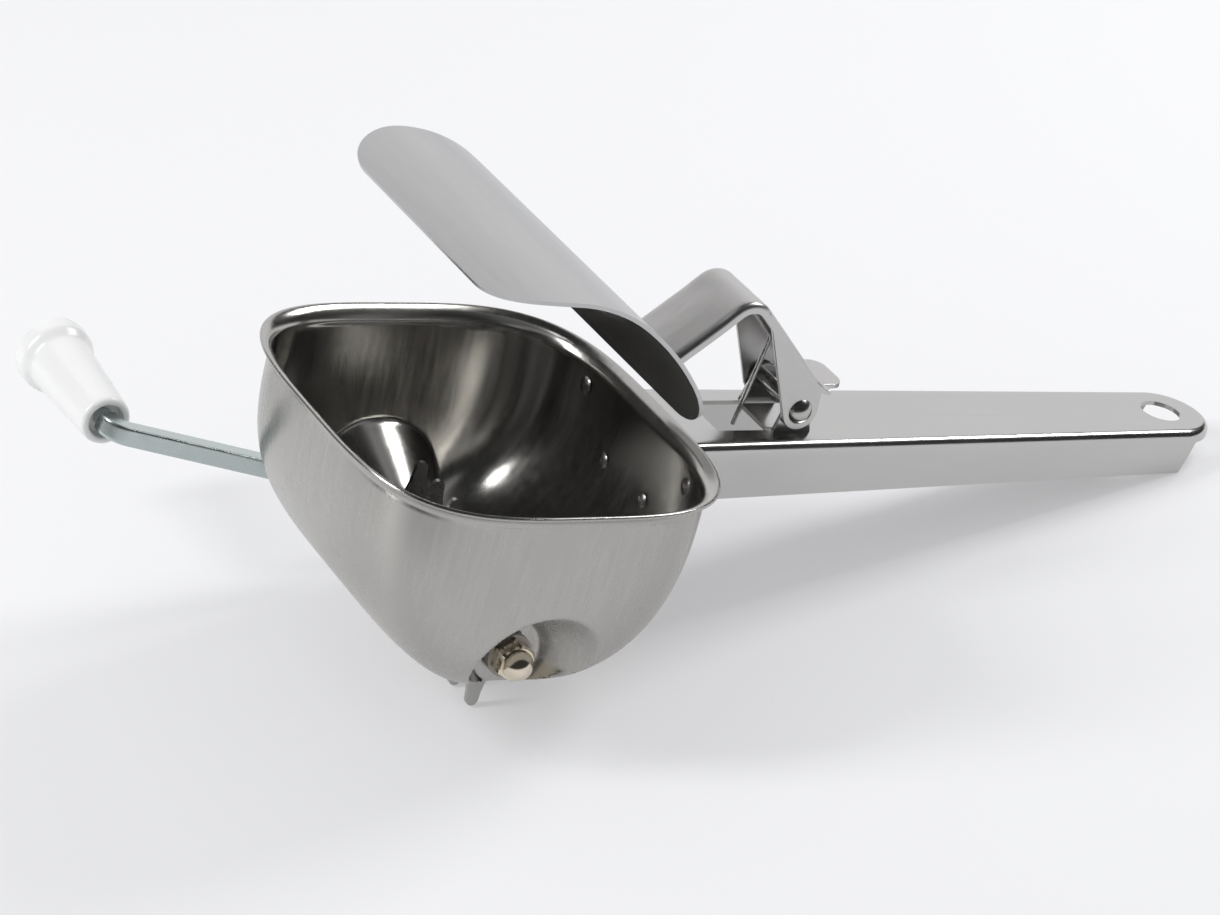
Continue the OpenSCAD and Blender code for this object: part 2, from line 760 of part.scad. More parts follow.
module rear_collar() {
    sleeve(blade_y(blade_count - 1) + blade_t / 2, rotor_end);
}

// Washer between the shaft's shoulder and the nut
module nut_washer() {
    color(nickel)
        difference() {
            bar_y(washer_r, -nut_in, -washer_in);
            bar_y(thread_r + slip_gap, -nut_in - cut, -washer_in + cut);
        }
}

// Domed cap nut on the threaded end
module acorn_nut() {
    color(nickel)
        difference() {
            union() {
                translate([0, -nut_in, 0])
                    rotate([90, 0, 0])
                        cylinder(r = nut_flats / sqrt(3), h = nut_h, $fn = 6);
                translate([0, -nut_face, 0])
                    rotate([90, 0, 0])
                        dome(nut_dome, nut_dome * 0.98);
            }
            bar_y(thread_r + slip_gap, -nut_face - nut_dome / 2 - slip_gap, -nut_in + cut);
        }
}

// Grip: a tapered plastic sleeve with an end flange, free to turn on the pin
module grip() {
    neck = grip_len - grip_flange_t;
    soft = 1;
    color(white)
        translate([grip_x, grip_y, grip_z])
            rotate([-90, 0, 0])
                difference() {
                    rotate_extrude()
                        polygon([[0, 0], [grip_near_r - soft, 0], [grip_near_r, soft],
                            [grip_far_r, neck - soft], [grip_far_r, neck], [grip_flange_r, neck + soft],
                            [grip_flange_r, grip_len - soft], [grip_flange_r - soft, grip_len],
                            [0, grip_len]]);
                    translate([0, 0, -cut])
                        cylinder(r = pin_r + run_gap, h = grip_len + 2 * cut);
                    translate([0, 0, -cut])
                        cylinder(r = grip_hollow_r, h = grip_hollow + cut);
                    translate([0, 0, grip_len - grip_hollow])
                        cylinder(r = grip_hollow_r, h = grip_hollow + cut);
                }
}

// Washer peened on the pin's end, which keeps the grip on
module grip_keeper() {
    color(zinc)
        translate([grip_x, 0, grip_z])
            difference() {
                bar_y(grip_hollow_r - keeper_gap, keeper_y, keeper_y + keeper_t);
                bar_y(pin_r + slip_gap / 2, keeper_y - cut, keeper_y + keeper_t + cut);
            }
}

// A plan with two round corners at its left end
module round_plan(long, wide, r) {
    translate([r, -wide / 2])
        square([long - r, wide]);
    translate([0, -wide / 2 + r])
        square([r + cut, wide - 2 * r]);
    for (side = [-1, 1])
        translate([r, side * (wide / 2 - r)])
            circle(r = r);
}

// Bars through the arm's root at its rivets' places, square to the plate
module root_bars(r, low, high) {
    for (side = [-1, 1])
        translate([root_mid[0], side * arm_rivet_y, root_mid[1]])
            rotate([0, root_turn, 0])
                translate([0, 0, low])
                    cylinder(r = r, h = high - low);
}

// Flared ends of those rivets, flush with the plate's inner face; spare lengthens them for cutting
module root_flares(grow, spare) {
    for (side = [-1, 1])
        translate([root_mid[0], side * arm_rivet_y, root_mid[1]])
            rotate([0, root_turn, 0])
                translate([0, 0, root_low - spare])
                    cylinder(r1 = arm_rivet_r + rivet_sink + spare + grow,
                        r2 = arm_rivet_r / 2 + grow,
                        h = arm_rivet_r / 2 + rivet_sink + spare);
}

// Pusher plate: a curved flap with rounded corners
module pusher_plate() {
    reach = 3 * plate_bend;
    color(steel)
        difference() {
            intersection() {
                upright(2 * plate_half)
                    strip(plate_path, -plate_t / 2, plate_t / 2);
                translate([plate_left, 0, plate_top])
                    rotate([0, -plate_rise, 0])
                        translate([0, 0, -reach])
                            linear_extrude(height = 2 * reach)
                                round_plan(reach, 2 * plate_half, plate_corner);
                translate([plate_tail[0], 0, plate_tail[1]])
                    rotate([0, tail_fall - 180, 0])
                        translate([0, 0, -reach])
                            linear_extrude(height = 2 * reach)
                                round_plan(reach, 2 * plate_half, plate_corner);
            }
            root_bars(arm_rivet_r + slip_gap, -plate_t - arm_sheet - cut, cut);
            root_flares(slip_gap, cut);
        }
}

// One cheek of the arm: from the arch to a rounded end about the hinge pin
module cheek() {
    apart = [leg_top[0] - hinge_x, leg_top[1] - hinge_z];
    touch = atan2(apart[1], apart[0]) + acos(cheek_r / norm(apart));
    difference() {
        union() {
            polygon([[leg_top[0], leg_top[1]], [leg_foot[0], leg_foot[1]], [hinge_x + cheek_r, hinge_z],
                [hinge_x, hinge_z], [hinge_x + cheek_r * cos(touch), hinge_z + cheek_r * sin(touch)]]);
            translate([hinge_x, hinge_z])
                circle(r = cheek_r);
        }
        translate([hinge_x, hinge_z])
            circle(r = hinge_r + run_gap);
    }
}

// Pusher arm: an arched strap with turned-down edges, hinge cheeks and a thumb tab
module pusher_arm() {
    color(steel)
        difference() {
            union() {
                upright(arm_wid)
                    strip(arm_path, -arm_sheet / 2, arm_sheet / 2);
                for (side = [-1, 1])
                    translate([0, side * (arm_wid - arm_sheet) / 2, 0])
                        upright(arm_sheet) {
                            strip(run_path, -arm_edge, 0);
                            cheek();
                        }
            }
            translate([tab_end[0], 0, tab_end[1] - cut])
                linear_extrude(height = 2 * cut)
                    difference() {
                        translate([-tab_len, -arm_wid])
                            square([tab_len + cut, 2 * arm_wid]);
                        mirror([1, 0])
                            round_plan(tab_len + cut, tab_wid, tab_corner);
                    }
            root_bars(arm_rivet_r + slip_gap, -arm_sheet, arm_sheet);
        }
}

// Rivets that join the arm to the plate
module pusher_rivets() {
    high = arm_sheet / 2;
    color(steel) {
        root_bars(arm_rivet_r, root_low, high);
        root_flares(0, 0);
        for (side = [-1, 1])
            translate([root_mid[0], side * arm_rivet_y, root_mid[1]])
                rotate([0, root_turn, 0])
                    translate([0, 0, high])
                        dome(arm_rivet_head_r, arm_rivet_head_h);
    }
}

lie() hopper();
lie() handle();
lie() handle_rivets();
lie() front_bush();
lie() rear_bush();
lie() hinge_pin();
lie() return_spring();
lie() crank();
lie() front_collar();
lie() rear_collar();
lie() nut_washer();
lie() acorn_nut();
lie() grip();
lie() grip_keeper();
for (i = [0:blade_count - 1])
    lie() blade(i);
for (i = [0:blade_count - 2])
    lie() spacer(i);
lie() pusher_plate();
lie() pusher_arm();
lie() pusher_rivets();
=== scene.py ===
import json
import math

import bmesh
import bpy
import numpy as np
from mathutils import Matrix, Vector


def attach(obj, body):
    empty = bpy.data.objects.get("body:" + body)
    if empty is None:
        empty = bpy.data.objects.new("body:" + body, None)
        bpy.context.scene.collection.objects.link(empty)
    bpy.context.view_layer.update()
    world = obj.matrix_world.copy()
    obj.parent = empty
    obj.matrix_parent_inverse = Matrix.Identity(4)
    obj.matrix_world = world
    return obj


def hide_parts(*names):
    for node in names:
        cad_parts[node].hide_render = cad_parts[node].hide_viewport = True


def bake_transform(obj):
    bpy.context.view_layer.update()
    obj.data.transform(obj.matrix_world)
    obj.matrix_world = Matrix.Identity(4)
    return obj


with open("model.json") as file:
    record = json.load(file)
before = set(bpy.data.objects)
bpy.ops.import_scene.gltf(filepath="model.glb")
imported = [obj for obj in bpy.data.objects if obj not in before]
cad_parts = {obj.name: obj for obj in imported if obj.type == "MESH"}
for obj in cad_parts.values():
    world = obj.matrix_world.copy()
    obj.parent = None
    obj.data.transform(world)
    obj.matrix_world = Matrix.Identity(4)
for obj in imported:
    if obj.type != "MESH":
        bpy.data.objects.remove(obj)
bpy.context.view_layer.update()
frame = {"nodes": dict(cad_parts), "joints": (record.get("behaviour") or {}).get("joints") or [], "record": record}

# The mill's own frame: the shaft is the Y axis through zero, the rim is level, sizes in millimetres.
joints = {j["name"]: j for j in frame["joints"]}
shaft_place = np.array(joints["crank_turn"]["pos_m"])
lean_sin, _, lean_cos = frame["record"]["mounts"][0]["axis"]
lean = math.atan2(lean_sin, lean_cos)

hopper_len, hopper_wid, hopper_depth, rim_rise, hopper_shift = 71.4, 83.2, 49.8, 39.0, -1.0
lip_out, lip_h, sheet, edge_angle = 2.0, 2.6, 0.8, 20.0
rim_power, floor_power, belly_power, belly_round, end_draft, end_power = 3.5, 5.0, 3.0, 1.2, 0.1, 6.4
seat_y, seat_r, pocket_flare = 24.5, 7.0, 0.55
blade_count, blade_mid, blade_pitch = 6, 1.25, 7.5
blade_y = blade_mid + (np.arange(blade_count) - (blade_count - 1) / 2) * blade_pitch
slot_half, slot_reach, bush_r = 1.1, 17.0, 4.24
seat_cut_from, seat_cut_to = 22, 26.5
handle_rise, handle_end, handle_sheet = 36.3, 170.8, 0.9
handle_half, end_r, end_bend = 12.7, 9.6, 1.7
skirt_h, skirt_end_h, skirt_slant, end_lip = 11.9, 9.5, 2.5, 2.5
hang_x, hang_r = 160.0, 4.4
flange_x, flange_low, flange_half = 34.78, 19.3, 23.8
hinge_x, hinge_z, ear_in, ear_r, ear_foot = 63.7, 41.3, 6.2, 3.2, 9.0
plate_half, plate_t, plate_corner = 37.8, 0.8, 14.5
crest_r, crest_turn, tail_r, tail_sweep = 31.2, 57.1, 54.0, 33.1
arm_half, arm_sheet, arm_edge, cheek_r = 8.25, 0.9, 1.6, 3.9
root_run, root_bend, climb, climb_run = 7.1, 2.2, 41.0, 19.8
arch_r, arch_turn, leg_run, tab_bend, tab_turn, tab_run, tab_corner = 5.0, 85.3, 23.8, 2.5, 44.3, 5.3, 3.0
seat_gap, rivet_side = 0.04, 4.1
wire_r, wire_gap, wire_hook, wire_leg, wire_bend, wire_lean, wire_run = 0.5, 0.2, 5.0, 10.5, 2.2, 9.6, 18.5
crank_reach, crank_lift, crank_slope = 51.7, math.radians(8.0), math.radians(13.5)
crank_gap, bend_r = 2.0, 4.0
bar_half, bar_power, journal_r, thread_r, pin_r = 1.95, 10, 2.8, 2.0, 1.9
grip_len, grip_hollow, grip_bore, grip_hollow_r = 31.4, 2.6, 1.95, 3.6


def laid(p):
    """Mill millimetres to row metres: turned about Y by the lean, then carried to the shaft's place."""
    x, y, z = p[..., 0], p[..., 1], p[..., 2]
    turned = np.stack([x * lean_cos + z * lean_sin, y, z * lean_cos - x * lean_sin], -1)
    return turned / 1000 + shaft_place


def smooth_min(a, b, k):
    """The lower of two heights, with a round of size k where they cross."""
    h = np.clip(0.5 + 0.5 * (b - a) / k, 0, 1)
    return b * (1 - h) + a * h - k * h * (1 - h)


def ease(a, b, t):
    """0 before a, 1 after b, smooth between."""
    h = np.clip((t - a) / (b - a), 0, 1)
    return h * h * (3 - 2 * h)


def points(*axes):
    """Three broadcast arrays as points."""
    return np.stack(np.broadcast_arrays(*axes), -1).astype(float)


def skin(rows, wrap=False):
    """Quads between neighbouring rows of points; wrap joins each row's last point to its first."""
    n, m = rows.shape[:2]
    i = np.arange(n * m).reshape(n, m)
    a, b = (i, np.roll(i, -1, 1)) if wrap else (i[:, :-1], i[:, 1:])
    quads = np.stack([a[:-1], b[:-1], b[1:], a[1:]], -1).reshape(-1, 4)
    return rows.reshape(-1, 3), quads


def built(name, skins):
    """A welded mesh object from skins, its faces turned outwards."""
    starts = np.cumsum([0] + [len(v) for v, _ in skins])
    verts = np.concatenate([v for v, _ in skins])
    quads = np.concatenate([q + s for (_, q), s in zip(skins, starts)])
    mesh = bpy.data.meshes.new(name)
    mesh.from_pydata(laid(verts), [], quads.tolist())
    bm = bmesh.new()
    bm.from_mesh(mesh)
    bmesh.ops.remove_doubles(bm, verts=bm.verts, dist=3e-6)
    bmesh.ops.dissolve_degenerate(bm, edges=bm.edges, dist=1e-6)
    bmesh.ops.recalc_face_normals(bm, faces=bm.faces)
    bm.to_mesh(mesh)
    bm.free()
    obj = bpy.data.objects.new(name, mesh)
    bpy.context.scene.collection.objects.link(obj)
    return obj


def cut_away(obj, skins):
    """Takes closed cutter skins out of a piece and keeps the cut mesh."""
    tool = built(obj.name + "_tool", skins)
    mod = obj.modifiers.new("cut", "BOOLEAN")
    mod.operation, mod.object, mod.solver = "DIFFERENCE", tool, "EXACT"
    seen = obj.evaluated_get(bpy.context.evaluated_depsgraph_get())
    mesh = bpy.data.meshes.new_from_object(seen)
    obj.modifiers.clear()
    obj.data = mesh
    bpy.data.objects.remove(tool)


def dressed(obj, body, nodes, material, sharp=38, bend=None):
    """Puts a finished piece on its body in place of its nodes, smooth but for edges over the sharp angle.
    A piece given a bend (another body, a start and an end) is instead left in place on no body; the bend's
    contents are not used."""
    obj.data.materials.clear()
    obj.data.materials.append(material)
    obj.data.shade_smooth()
    obj.data.set_sharp_from_angle(angle=math.radians(sharp))
    if bend:
        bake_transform(obj)
    else:
        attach(obj, body)
    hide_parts(*nodes)
    return obj


def slab(outline, low, high, soft, place):
    """A sheet piece: outline rows at both faces, drawn in by soft there, closed to the middle by fans."""
    way = np.roll(outline, -1, 0) - np.roll(outline, 1, 0)
    area = np.sum(outline[:, 0] * np.roll(outline[:, 1], -1) - np.roll(outline[:, 0], -1) * outline[:, 1])
    inward = np.stack([-way[:, 1], way[:, 0]], -1) * np.sign(area)
    inner = outline + soft * inward / np.linalg.norm(inward, axis=1, keepdims=True)
    middle = np.broadcast_to(outline.mean(0), outline.shape)
    flat = np.stack([middle, inner, outline, outline, inner, middle])
    level = np.array([low, low, low + soft, high - soft, high, high])[:, None]
    return skin(place(flat[..., 0], flat[..., 1], level), wrap=True)


def stand(a, b, t):
    """A drawing in the X and Z plane, its thickness along the shaft."""
    return points(a, t, b)


def lathe(profile, origin, axis, count=48):
    """A profile of [along, radius] pairs carried round an axis through the origin."""
    axis = np.array(axis, float) / np.linalg.norm(axis)
    side = np.cross(axis, [0.31, 0.62, 0.72])
    side = side / np.linalg.norm(side)
    other = np.cross(axis, side)
    t = np.linspace(0, 2 * np.pi, count, endpoint=False)
    ring = np.cos(t)[:, None] * side + np.sin(t)[:, None] * other
    p = np.array(profile, float)
    rows = np.array(origin) + p[:, None, :1] * axis + p[:, None, 1:] * ring
    return skin(rows, wrap=True)


def dome(at, way, r, h, steps=9):
    """Profile of a domed head from its top to its rim: a ball's cap of radius r and height h at a place."""
    ball = (r * r + h * h) / (2 * h)
    a = np.linspace(0, math.asin(min(1, r / ball)), steps)
    return np.stack([at + way * (h - ball * (1 - np.cos(a))), ball * np.sin(a)], -1)


def rivet(origin, axis, low, high, r, near, far):
    """A rivet along an axis: a domed head, its shank and a second head; near and far are [radius, height]."""
    first = dome(low, -1, *near)
    last = dome(high, 1, *far)[::-1]
    shank = np.array([[low, r], [high, r]])
    return lathe(np.concatenate([first, shank, last]), origin, axis)


def path(x, z, heading, *steps):
    """Points [x, z, heading] along runs (length,) and bends (radius, turn), headings in degrees."""
    line = np.array([[x, z, heading]], float)
    for step in steps:
        x, z, h = line[-1]
        if len(step) == 1:
            t = np.linspace(0, step[0], max(3, int(step[0] / 0.9)) + 1)[1:]
            c, s = math.cos(math.radians(h)), math.sin(math.radians(h))
            line = np.concatenate([line, np.stack([x + t * c, z + t * s, 0 * t + h], -1)])
        else:
            r, turn = step
            side, n = np.sign(turn), max(6, int(abs(turn) / 3))
            a = h + turn * np.arange(1, n + 1) / n
            sn, cs = np.sin(np.radians(a)), np.cos(np.radians(a))
            line = np.concatenate([line, np.stack([
                x + side * r * (sn - math.sin(math.radians(h))),
                z - side * r * (cs - math.cos(math.radians(h))), a], -1)])
    return line


def lengths(line):
    """Distance along a path at each of its points."""
    return np.concatenate([[0], np.cumsum(np.hypot(np.diff(line[:, 0]), np.diff(line[:, 1])))])


def beside(line, off):
    """Points at a distance to the left of a path."""
    h = np.radians(line[:, 2])
    return line[:, 0] - off * np.sin(h), line[:, 1] + off * np.cos(h)


# Finishes


def nodes_of(name):
    """A new material with its node tree and its main shader."""
    material = bpy.data.materials.new(name)
    material.use_nodes = True
    tree = material.node_tree
    return material, tree, tree.nodes["Principled BSDF"]


def linked(tree, kind, inputs=(), **values):
    """A new node with its settings: an input that is a socket is linked, and any other is set."""
    node = tree.nodes.new(kind)
    for key, value in values.items():
        setattr(node, key, value)
    for name, value in inputs:
        if isinstance(value, bpy.types.NodeSocket):
            tree.links.new(value, node.inputs[name])
        else:
            node.inputs[name].default_value = value
    return node


def drawn_metal(name, colour, rough, scratch, grain, spread=0.06, bump=0.02, blotch=0.05):
    """Drawn or brushed metal: fine scratches stretched along one axis of the mill change its roughness and
    relief, and a slow cloud changes its colour a little."""
    material, tree, bsdf = nodes_of(name)
    place = linked(tree, "ShaderNodeTexCoord").outputs["Object"]
    laid_flat = linked(tree, "ShaderNodeMapping", [("Vector", place), ("Rotation", (0, -lean, 0))])
    fine = linked(tree, "ShaderNodeMapping", [("Vector", laid_flat.outputs[0]), ("Scale", scratch)])
    lines = linked(tree, "ShaderNodeTexNoise", [
        ("Vector", fine.outputs[0]), ("Scale", 1.0), ("Detail", 4.0), ("Roughness", 0.62)])
    cloud = linked(tree, "ShaderNodeTexNoise", [
        ("Vector", laid_flat.outputs[0]), ("Scale", grain), ("Detail", 3.0), ("Roughness", 0.5)])
    both = linked(tree, "ShaderNodeMath", [
        (0, lines.outputs["Fac"]), (1, cloud.outputs["Fac"])], operation="ADD")
    gloss = linked(tree, "ShaderNodeMapRange", [
        ("Value", both.outputs[0]), ("From Min", 0.7), ("From Max", 1.3),
        ("To Min", rough - spread), ("To Max", rough + spread)])
    tint = linked(tree, "ShaderNodeMix", [
        ("Factor", cloud.outputs["Fac"]),
        ("A", (*[c * (1 - blotch) for c in colour], 1)),
        ("B", (*[min(1, c * (1 + blotch)) for c in colour], 1))], data_type="RGBA")
    relief = linked(tree, "ShaderNodeBump", [
        ("Height", lines.outputs["Fac"]), ("Strength", bump), ("Distance", 0.0002)])
    tree.links.new(tint.outputs["Result"], bsdf.inputs["Base Color"])
    tree.links.new(gloss.outputs[0], bsdf.inputs["Roughness"])
    tree.links.new(relief.outputs[0], bsdf.inputs["Normal"])
    bsdf.inputs["Metallic"].default_value = 1.0
    return material


def polished_outside(material, middle, stretch, smoother):
    """Drawn bowl: its outer side is polished round and round, so light runs up and down it by stretch.
    Its inner side is left as drawn and is smoother. A face is an outer one where its normal points away
    from the middle."""
    tree = material.node_tree
    bsdf = tree.nodes["Principled BSDF"]
    coord = linked(tree, "ShaderNodeTexCoord")
    reach = linked(tree, "ShaderNodeVectorMath", [
        (0, coord.outputs["Object"]), (1, middle)], operation="SUBTRACT")
    way = linked(tree, "ShaderNodeVectorMath", [
        (0, reach.outputs[0]), (1, coord.outputs["Normal"])], operation="DOT_PRODUCT")
    outer = linked(tree, "ShaderNodeMapRange", [
        ("Value", way.outputs["Value"]), ("From Min", -0.001), ("From Max", 0.001)])
    pull = linked(tree, "ShaderNodeMath", [(0, outer.outputs[0]), (1, stretch)], operation="MULTIPLY")
    less = linked(tree, "ShaderNodeMapRange", [
        ("Value", outer.outputs[0]), ("To Min", -smoother), ("To Max", 0.0)])
    gloss = bsdf.inputs["Roughness"].links[0].from_socket
    both = linked(tree, "ShaderNodeMath", [(0, gloss), (1, less.outputs[0])], operation="ADD")
    tree.links.new(both.outputs[0], bsdf.inputs["Roughness"])
    tree.links.new(pull.outputs[0], bsdf.inputs["Anisotropic"])
    bsdf.inputs["Anisotropic Rotation"].default_value = 0.25


def white_plastic(name):
    """Glossy white moulding with a faint orange-peel and a slightly greyer cloud."""
    material, tree, bsdf = nodes_of(name)
    place = linked(tree, "ShaderNodeTexCoord").outputs["Object"]
    peel = linked(tree, "ShaderNodeTexNoise", [("Vector", place), ("Scale", 900.0), ("Detail", 2.0)])
    cloud = linked(tree, "ShaderNodeTexNoise", [("Vector", place), ("Scale", 60.0), ("Detail", 2.0)])
    tint = linked(tree, "ShaderNodeMix", [
        ("Factor", cloud.outputs["Fac"]),
        ("A", (0.79, 0.79, 0.78, 1)), ("B", (0.83, 0.83, 0.82, 1))], data_type="RGBA")
    gloss = linked(tree, "ShaderNodeMapRange", [
        ("Value", cloud.outputs["Fac"]), ("To Min", 0.2), ("To Max", 0.34)])
    relief = linked(tree, "ShaderNodeBump", [
        ("Height", peel.outputs["Fac"]), ("Strength", 0.03), ("Distance", 0.0002)])
    tree.links.new(tint.outputs["Result"], bsdf.inputs["Base Color"])
    tree.links.new(gloss.outputs[0], bsdf.inputs["Roughness"])
    tree.links.new(relief.outputs[0], bsdf.inputs["Normal"])
    return material


hopper_finish = drawn_metal("hopper_drawn_sheet", (0.46, 0.45, 0.43), 0.28, (900, 900, 30), 45, 0.05, 0.03)
polished_outside(hopper_finish, laid(np.array([-1.0, 0.0, 30.0])), 0.85, 0.08)
handle_finish = drawn_metal(
    "handle_pressed_sheet", (0.53, 0.525, 0.515), 0.22, (60, 1100, 1100), 35, 0.05, 0.03)
plate_finish = drawn_metal("plate_satin_sheet", (0.53, 0.53, 0.53), 0.32, (1000, 50, 1000), 30, 0.05, 0.04)
arm_finish = drawn_metal("arm_bent_strap", (0.56, 0.55, 0.54), 0.34, (300, 1100, 300), 60, 0.05, 0.02)
rivet_finish = drawn_metal("rivet_heads", (0.48, 0.475, 0.46), 0.24, (500, 500, 500), 200, 0.06, 0.03)
blade_finish = drawn_metal("blade_rolled_sheet", (0.46, 0.455, 0.445), 0.32, (700, 700, 700), 150, 0.07, 0.04)
shaft_finish = drawn_metal("turned_shaft_steel", (0.45, 0.45, 0.44), 0.3, (120, 2500, 120), 150, 0.06, 0.04)
# Dull dark bush metal. On the washer behind the nut its darkness is painted shade, standing in for the shaded gap
# in the pocket there.
bush_metal_and_gap_shade = drawn_metal("dull_bush_metal_and_gap_shade", (0.33, 0.31, 0.28), 0.48, (900, 900, 900), 200, 0.06, 0.08)
spring_finish = drawn_metal("drawn_wire", (0.50, 0.50, 0.495), 0.24, (200, 900, 200), 200, 0.06, 0.03)
zinc_finish = drawn_metal("zinc_plating", (0.52, 0.58, 0.57), 0.28, (400, 400, 400), 130, 0.07, 0.04, 0.08)
nickel_finish = drawn_metal("nickel_plating", (0.72, 0.65, 0.53), 0.2, (500, 500, 500), 160, 0.04, 0.02)
grip_finish = white_plastic("grip_moulding")


# Hopper


def hopper_side(inset, count):
    """Rows of one side of the drawn sheet from the rim's edge to the lowest point.

    The flare is an ellipse: out = long (1 - sin a), height = neck + high cos a, moved by inset square to it.
    The body at depth share u has half length L (1 - u^3)^(1/1.2).
    Its half width there is W (1 - 0.1 u) sqrt(1 - u^6.4).
    Each ring is (L cos t, W sin t) / (|cos t|^n + |sin t|^n)^(1/n).
    The power n goes from the rim's to the floor's.
    A bearing pocket holds the end wall within a cone.
    The cone is seat + (distance from the shaft - seat radius) / flare.
    """
    t = np.linspace(0, 2 * np.pi, count, endpoint=False)[None, :]
    along = lip_out / (1 - math.sin(math.radians(edge_angle)))
    high = lip_h / math.cos(math.radians(edge_angle))
    neck = rim_rise - sheet - lip_h
    a = np.radians(np.linspace(edge_angle, 86, 12))
    way = np.stack([high * np.sin(a), along * np.cos(a)])
    way = inset * way / np.linalg.norm(way, axis=0)
    out = along * (1 - np.sin(a)) - way[0]
    depth = hopper_depth - inset
    low = (rim_rise - neck) / depth
    u = low + (1 - low) * (1 - (1 - np.linspace(0, 1, 112)) ** 1.7)
    z = np.concatenate([neck + high * np.cos(a) + way[1], rim_rise - u * depth])[:, None]
    body_len = (hopper_len / 2 - inset) * np.maximum(0, 1 - u ** belly_power) ** (1 / belly_round)
    body_wid = (hopper_wid / 2 - inset) * (1 - end_draft * u) * np.sqrt(np.maximum(0, 1 - u ** end_power))
    half_len = np.concatenate([hopper_len / 2 + out, body_len])[:, None]
    half_wid = np.concatenate([hopper_wid / 2 + out, body_wid])[:, None]
    n = np.concatenate([0 * a + rim_power, rim_power + (floor_power - rim_power) * u])[:, None]
    size = (np.abs(np.cos(t)) ** n + np.abs(np.sin(t)) ** n) ** (-1 / n)
    x = hopper_shift + half_len * size * np.cos(t)
    y = half_wid * size * np.sin(t)
    spread = inset * (math.hypot(1, pocket_flare) - pocket_flare)
    past = -smooth_min(0 * x, seat_r + spread - np.hypot(x, z), 0.5)
    y = np.sign(y) * smooth_min(np.abs(y), seat_y - inset + past / pocket_flare, 0.45)
    return points(x, y, z)


def hopper_shell(count=288):
    """Inner side, round sheet edge and outer side as one closed skin."""
    inner, outer = hopper_side(sheet, count), hopper_side(0, count)
    middle, half = (outer[0] + inner[0]) / 2, (outer[0] - inner[0]) / 2
    ahead = outer[0] - outer[1]
    ahead = 0.3 * ahead / np.linalg.norm(ahead, axis=1, keepdims=True)
    b = np.radians([150, 120, 90, 60, 30])[:, None, None]
    edge = middle + half * np.cos(b) + ahead * np.sin(b)
    return skin(np.concatenate([inner[::-1], edge, outer]), wrap=True)


def disc(low, high, r, side, count):
    """A plain closed drum about the shaft, between two places along it, as a cutter."""
    return lathe([[low, 0], [low, r], [high, r], [high, 0]], (0, 0, 0), (0, side, 0), count)


hopper = built("hopper_bowl", [hopper_shell()])
slots = [disc(y - slot_half, y + slot_half, slot_reach, 1, 96) for y in blade_y]
seats = [disc(seat_cut_from, seat_cut_to, bush_r, s, 64) for s in (-1, 1)]
cut_away(hopper, slots + seats)
dressed(hopper, "frame", ["hopper"], hopper_finish, 42)


# Handle


def handle_shell():
    """A pressed channel: from a middle line, the top runs out flat to the edge, turns down through a quarter
    bend and hangs as a skirt; the edge follows two tapering sides and a half-round end."""
    start = flange_x + 0.3
    centre = handle_end - end_r
    x = np.linspace(start, centre, 60)
    side = handle_half + (end_r - handle_half) * (x - flange_x) / (centre - flange_x)
    turn = np.radians(np.linspace(90, -90, 75))[1:-1]
    px = np.concatenate([x, 0 * turn + centre, x[::-1]])
    wide = np.concatenate([side, 0 * turn + end_r, side[::-1]])[:, None]
    dx = np.concatenate([0 * x, np.cos(turn), 0 * x])[:, None]
    dy = np.concatenate([0 * x + 1, np.sin(turn), 0 * x - 1])[:, None]
    at = px[:, None] + dx * wide
    deep = skirt_h + (skirt_end_h - skirt_h) * (at - flange_x) / (centre - flange_x)
    slant = skirt_end_h - (at - centre) / skirt_slant * (skirt_end_h - end_lip)
    deep = np.where(at > centre, np.maximum(end_lip, slant), deep)
    share = np.linspace(0, 1, 10)[None, :]
    bend = np.radians(np.linspace(0, 90, 9))[None, 1:]
    drop = np.linspace(0, 1, 7)[None, 1:]

    def side_of(g):
        """Rows of the face that lies g inside the outer one."""
        r = end_bend - g
        flat = (wide - end_bend) * share
        round_out = wide - end_bend + r * np.sin(bend)
        out = np.concatenate([flat, round_out, wide - g + 0 * drop], 1)
        fall = np.concatenate([0 * flat + g, end_bend - r * np.cos(bend) + 0 * wide,
                               end_bend + (deep - end_bend) * drop], 1)
        return points(px[:, None] + dx * out, dy * out, handle_rise - fall)

    outer, inner = side_of(0), side_of(handle_sheet)
    ends = [skin(np.stack([outer[i], inner[i]])) for i in (0, -1)]
    return [skin(np.concatenate([outer, inner[:, ::-1]], 1))] + ends


def box(x0, x1, y0, y1, z0, z1):
    """A closed block as a slab."""
    outline = np.array([[x0, z0], [x1, z0], [x1, z1], [x0, z1]], float)
    return slab(outline, y0, y1, 0.0, stand)


def ear_outline():
    """A foot that narrows to a round about the hinge."""
    a = np.radians(np.linspace(-10, 190, 25))
    top = np.stack([hinge_x + ear_r * np.cos(a), hinge_z + ear_r * np.sin(a)], -1)
    foot_z = handle_rise - 0.7
    foot = np.array([[hinge_x - ear_foot / 2, foot_z], [hinge_x + ear_foot / 2, foot_z]])
    return np.concatenate([top, foot])


def flange_outline(r=4.0):
    """The riveted flange in the Y and Z plane: square top corners and round lower ones."""
    a = np.radians(np.linspace(180, 270, 9))
    left = np.stack([-flange_half + r + r * np.cos(a), flange_low + r + r * np.sin(a)], -1)
    right = left[::-1] * [-1, 1]
    top = rim_rise - sheet - lip_h
    return np.concatenate([left, right, [[flange_half, top], [-flange_half, top]]])


